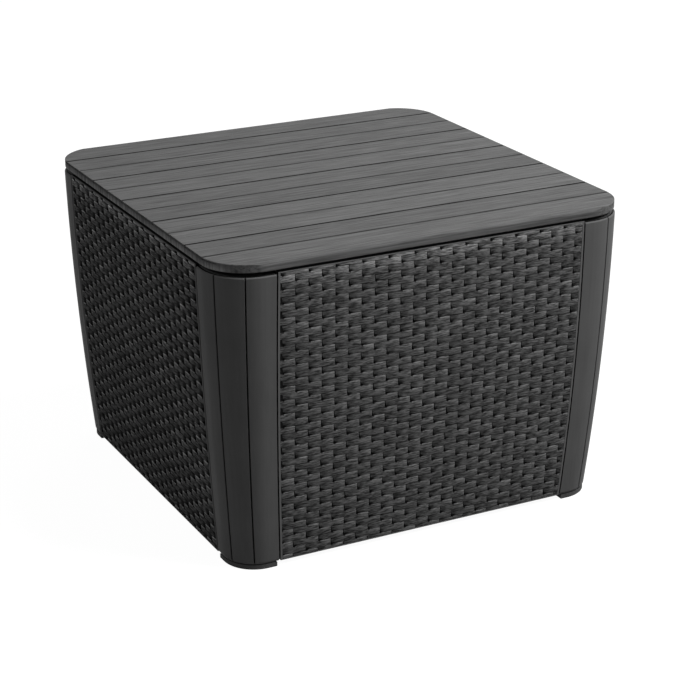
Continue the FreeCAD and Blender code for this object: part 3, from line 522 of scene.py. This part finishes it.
# Hinges: a bracket on the back panel and a leaf under the lid at each side, joined by the pin.
# Moulded in a tougher polypropylene, nearly black, smooth where the knuckles run.
hinge_resin = moulded_polypropylene("hinge_polypropylene", "#202020", "#262626", 0.4, 0.1, 0.1)
finish_nodes(hinge_resin, "hinge_bracket_left", "hinge_bracket_right", "hinge_leaf_left", "hinge_leaf_right")


# Lid frame: closes the lid from below, with the rim that finds the box, ribs and seats.
# Moulded polypropylene, the same dull grade as the floor.
frame_resin = moulded_polypropylene("lid_frame_polypropylene", "#333333", "#3a3a3a", 0.52, 0.03, 0.3)
finish_nodes(frame_resin, "lid_frame")


# Lid deck: one moulding whose top reads as eleven planks, their long edges rounded over and their ends cut
# square. Moulded polypropylene with wood grain from the tool: dull, streaked lengthwise, each plank a little
# different and near black in the joints. The cut ends carry painted light, lighter towards their lower part.
plank_count = 11
plank_start = -0.2905
plank_pitch = -2 * plank_start / plank_count
plank_slide = 3.0
plank_tint = (0.93, 1.07)
joint_edge = (0.0014, 0.0028)
joint_shade = 0.10
weak_joint_gain = 0.26
cut_clear = 0.002
cut_facing = (0.6, 0.8)
lower_end_light_zone = (0.4170, 0.4110)
lower_end_light_gain = 0.9
deck_resin = bpy.data.materials.new("grained_polypropylene")
deck_resin.use_nodes = True
tree = deck_resin.node_tree
tree.nodes.clear()
texture = add(tree, "ShaderNodeTexCoord").outputs
spot = add(tree, "ShaderNodeSeparateXYZ", {0: texture["Object"]}).outputs
joint = add(tree, "ShaderNodeMath", {0: spot[1], 1: plank_start}, operation="SUBTRACT").outputs[0]
number = add(tree, "ShaderNodeMath", {0: joint, 1: plank_pitch}, operation="DIVIDE").outputs[0]
plank = add(tree, "ShaderNodeMath", {0: number}, operation="FLOOR").outputs[0]
chance = add(tree, "ShaderNodeTexWhiteNoise", {"W": plank}, noise_dimensions="1D").outputs["Value"]
slide = add(tree, "ShaderNodeMath", {0: chance, 1: plank_slide}, operation="MULTIPLY").outputs[0]
slide = add(tree, "ShaderNodeCombineXYZ", {0: slide}).outputs[0]
lie = add(tree, "ShaderNodeVectorMath", {0: texture["Object"], 1: slide}, operation="ADD").outputs[0]

# Grain lines are 1.8 mm wide and some 90 mm long, with finer ones between; on the cut ends they stand upright
coarse_size = (0.09, 0.0018, 0.0025)
fine_size = (0.03, 0.0009, 0.0012)
upright_size = (1.0, 0.0025, 0.08)
fine_share = 0.35
grain_depth = 0.0005
lines = []
for line_size, detail, distortion in ((coarse_size, 3.0, 0.4), (fine_size, 2.0, 0.0),
                                      (upright_size, 3.0, 0.0)):
    run = add(tree, "ShaderNodeMapping", {"Vector": lie, "Scale": [1 / size for size in line_size]})
    lines.append(add(tree, "ShaderNodeTexNoise", {"Vector": run.outputs[0], "Scale": 1.0, "Detail": detail,
                                                  "Distortion": distortion}).outputs["Fac"])
coarse, fine, ends = lines
grain = add(tree, "ShaderNodeMix", {"Factor": fine_share, "A": coarse, "B": fine},
            data_type="FLOAT").outputs["Result"]
facing = add(tree, "ShaderNodeSeparateXYZ", {0: texture["Normal"]}).outputs[0]
facing = add(tree, "ShaderNodeMath", {0: facing}, operation="ABSOLUTE").outputs[0]
cut = add(tree, "ShaderNodeMapRange", {"Value": facing, "From Min": cut_facing[0],
                                       "From Max": cut_facing[1]}).outputs[0]
grain = add(tree, "ShaderNodeMix", {"Factor": cut, "A": grain, "B": ends},
            data_type="FLOAT").outputs["Result"]
tone = add(tree, "ShaderNodeMapRange", {"Value": grain, "From Min": 0.28, "From Max": 0.72}).outputs[0]
colour = add(tree, "ShaderNodeMix", {"Factor": tone, "A": linear("#3a3a3a"), "B": linear("#737373")},
             data_type="RGBA").outputs["Result"]
shade = add(tree, "ShaderNodeMapRange", {"Value": chance, "To Min": plank_tint[0],
                                         "To Max": plank_tint[1]}).outputs[0]

# Every second joint is weaker. The outer rims of the first and the last plank and the cut ends have none.
weaker = add(tree, "ShaderNodeMath", {0: number}, operation="ROUND").outputs[0]
weaker = add(tree, "ShaderNodeMath", {0: weaker, 1: 2.0}, operation="FLOORED_MODULO").outputs[0]
weaker = add(tree, "ShaderNodeMath", {0: weaker, 1: weak_joint_gain, 2: joint_shade},
             operation="MULTIPLY_ADD").outputs[0]
joint = add(tree, "ShaderNodeMath", {0: joint, 1: plank_pitch / 2}, operation="PINGPONG").outputs[0]
rim = add(tree, "ShaderNodeMath", {0: spot[1]}, operation="ABSOLUTE").outputs[0]
rim = add(tree, "ShaderNodeMath", {0: rim, 1: -plank_start - plank_pitch / 2},
          operation="GREATER_THAN").outputs[0]
joint = add(tree, "ShaderNodeMath", {0: joint, 1: rim}, operation="MAXIMUM").outputs[0]
joint = add(tree, "ShaderNodeMath", {0: cut, 1: cut_clear, 2: joint}, operation="MULTIPLY_ADD").outputs[0]
joint = add(tree, "ShaderNodeMapRange", {"Value": joint, "From Min": joint_edge[0], "From Max": joint_edge[1],
                                         "To Min": weaker}).outputs[0]
shade = add(tree, "ShaderNodeMath", {0: shade, 1: joint}, operation="MULTIPLY").outputs[0]
# Painted light: the cut ends lighter towards their lower part
lower_end_light = add(tree, "ShaderNodeMapRange", {"Value": spot[2], "From Min": lower_end_light_zone[0], "From Max": lower_end_light_zone[1],
                                        "To Max": lower_end_light_gain}).outputs[0]
lower_end_light = add(tree, "ShaderNodeMath", {0: cut, 1: lower_end_light, 2: 1.0}, operation="MULTIPLY_ADD").outputs[0]
shade = add(tree, "ShaderNodeMath", {0: shade, 1: lower_end_light}, operation="MULTIPLY").outputs[0]
colour = add(tree, "ShaderNodeVectorMath", {0: colour, "Scale": shade}, operation="SCALE").outputs[0]
gloss = add(tree, "ShaderNodeMapRange", {"Value": grain, "From Min": 0.3, "From Max": 0.7,
                                         "To Min": 0.62, "To Max": 0.5}).outputs[0]
bump = add(tree, "ShaderNodeBump", {"Height": grain, "Strength": 0.35, "Distance": grain_depth}).outputs[0]
shader = add(tree, "ShaderNodeBsdfPrincipled", {"Base Color": colour, "Roughness": gloss, "Normal": bump,
                                                "IOR": resin_ior, "Specular IOR Level": 0.005})
add(tree, "ShaderNodeOutputMaterial", {"Surface": shader.outputs[0]})
finish_nodes(deck_resin, "lid_deck")


# Studio: a pale floor that runs out to a white surround, one large soft lamp high before the table at its
# right, a weak one at its left and one low behind it. The floor and the surround are white to the camera, and
# the floor keeps the shadow.
floor_reach = 8.0
floor_bounce = 0.29
floor_shown = 0.15
floor_glow = 0.96
surround_light = 0.11
floor_mesh = bpy.data.meshes.new("floor")
floor_mesh.from_pydata([(-floor_reach, -floor_reach, 0), (floor_reach, -floor_reach, 0),
                        (floor_reach, floor_reach, 0), (-floor_reach, floor_reach, 0)], [], [(0, 1, 2, 3)])
floor = bpy.data.objects.new("floor", floor_mesh)
bpy.context.scene.collection.objects.link(floor)


# 1 where the camera looks, also by way of gloss and glass, and 0 where light falls
def looked_at(tree):
    seen = add(tree, "ShaderNodeLightPath").outputs
    looked = seen["Is Camera Ray"]
    for name in ("Is Glossy Ray", "Is Transmission Ray"):
        looked = add(tree, "ShaderNodeMath", {0: looked, 1: seen[name]}, operation="MAXIMUM").outputs[0]
    return looked


paper = bpy.data.materials.new("floor_paper")
paper.use_nodes = True
tree = paper.node_tree
tree.nodes.clear()
bounce = add(tree, "ShaderNodeBsdfDiffuse", {"Color": (*[floor_bounce] * 3, 1)}).outputs[0]
shown = add(tree, "ShaderNodeBsdfDiffuse", {"Color": (*[floor_shown] * 3, 1)}).outputs[0]
glow = add(tree, "ShaderNodeEmission", {"Strength": floor_glow}).outputs[0]
shown = add(tree, "ShaderNodeAddShader", {0: shown, 1: glow}).outputs[0]
mixed = add(tree, "ShaderNodeMixShader", {0: looked_at(tree), 1: bounce, 2: shown}).outputs[0]
add(tree, "ShaderNodeOutputMaterial", {"Surface": mixed})
floor_mesh.materials.append(paper)

world = bpy.data.worlds.new("surround")
bpy.context.scene.world = world
world.use_nodes = True
tree = world.node_tree
tree.nodes.clear()
level = add(tree, "ShaderNodeMapRange", {"Value": looked_at(tree), "To Min": surround_light, "To Max": 1.0})
sky = add(tree, "ShaderNodeBackground", {"Color": (1, 1, 1, 1), "Strength": level.outputs[0]}).outputs[0]
add(tree, "ShaderNodeOutputWorld", {"Surface": sky})

lamp_distance = 3.0
lamp_aim = Vector((0, 0, 0.25))
lamp_front = bpy.data.lights.new("lamp_front", "AREA")
lamp_front.shape = "DISK"
lamp_front.size = 1.6
lamp_front.energy = 112.0
lamp_left = bpy.data.lights.new("lamp_left", "SUN")
lamp_left.angle = math.radians(30)
lamp_left.energy = 0.48
lamp_back = bpy.data.lights.new("lamp_back", "SUN")
lamp_back.angle = math.radians(40)
lamp_back.energy = 0.7
for lamp, azimuth, elevation in ((lamp_front, 48, 53), (lamp_left, -112, 40), (lamp_back, 138, 12)):
    turn = math.radians(azimuth)
    tilt = math.radians(elevation)
    away = Vector((math.sin(turn) * math.cos(tilt), -math.cos(turn) * math.cos(tilt), math.sin(tilt)))
    holder = bpy.data.objects.new(lamp.name, lamp)
    holder.location = away * lamp_distance + lamp_aim
    holder.rotation_euler = away.to_track_quat("Z", "Y").to_euler()
    bpy.context.scene.collection.objects.link(holder)

# Camera: from the front left, a little above, with a long lens
camera_place = (-1.1805, -2.3373, 1.1822)
yaw = math.radians(27.0752)
pitch = math.radians(20.9326)
roll = math.radians(-0.2029)
sensor_width = 36.0
lens_widths = 1989.59 / 680
forward = Vector((math.sin(yaw) * math.cos(pitch), math.cos(yaw) * math.cos(pitch), -math.sin(pitch)))
right = forward.cross(Vector((0, 0, 1))).normalized()
upward = right.cross(forward)
level_right = right * math.cos(roll) + upward * math.sin(roll)
level_up = upward * math.cos(roll) - right * math.sin(roll)
lens = bpy.data.cameras.new("camera")
lens.sensor_width = sensor_width
lens.lens = sensor_width * lens_widths
camera = bpy.data.objects.new("camera", lens)
turned = Matrix((level_right, level_up, -forward)).transposed().to_4x4()
camera.matrix_world = Matrix.Translation(camera_place) @ turned
bpy.context.scene.collection.objects.link(camera)
bpy.context.scene.camera = camera
bpy.context.scene.view_settings.view_transform = "Standard"
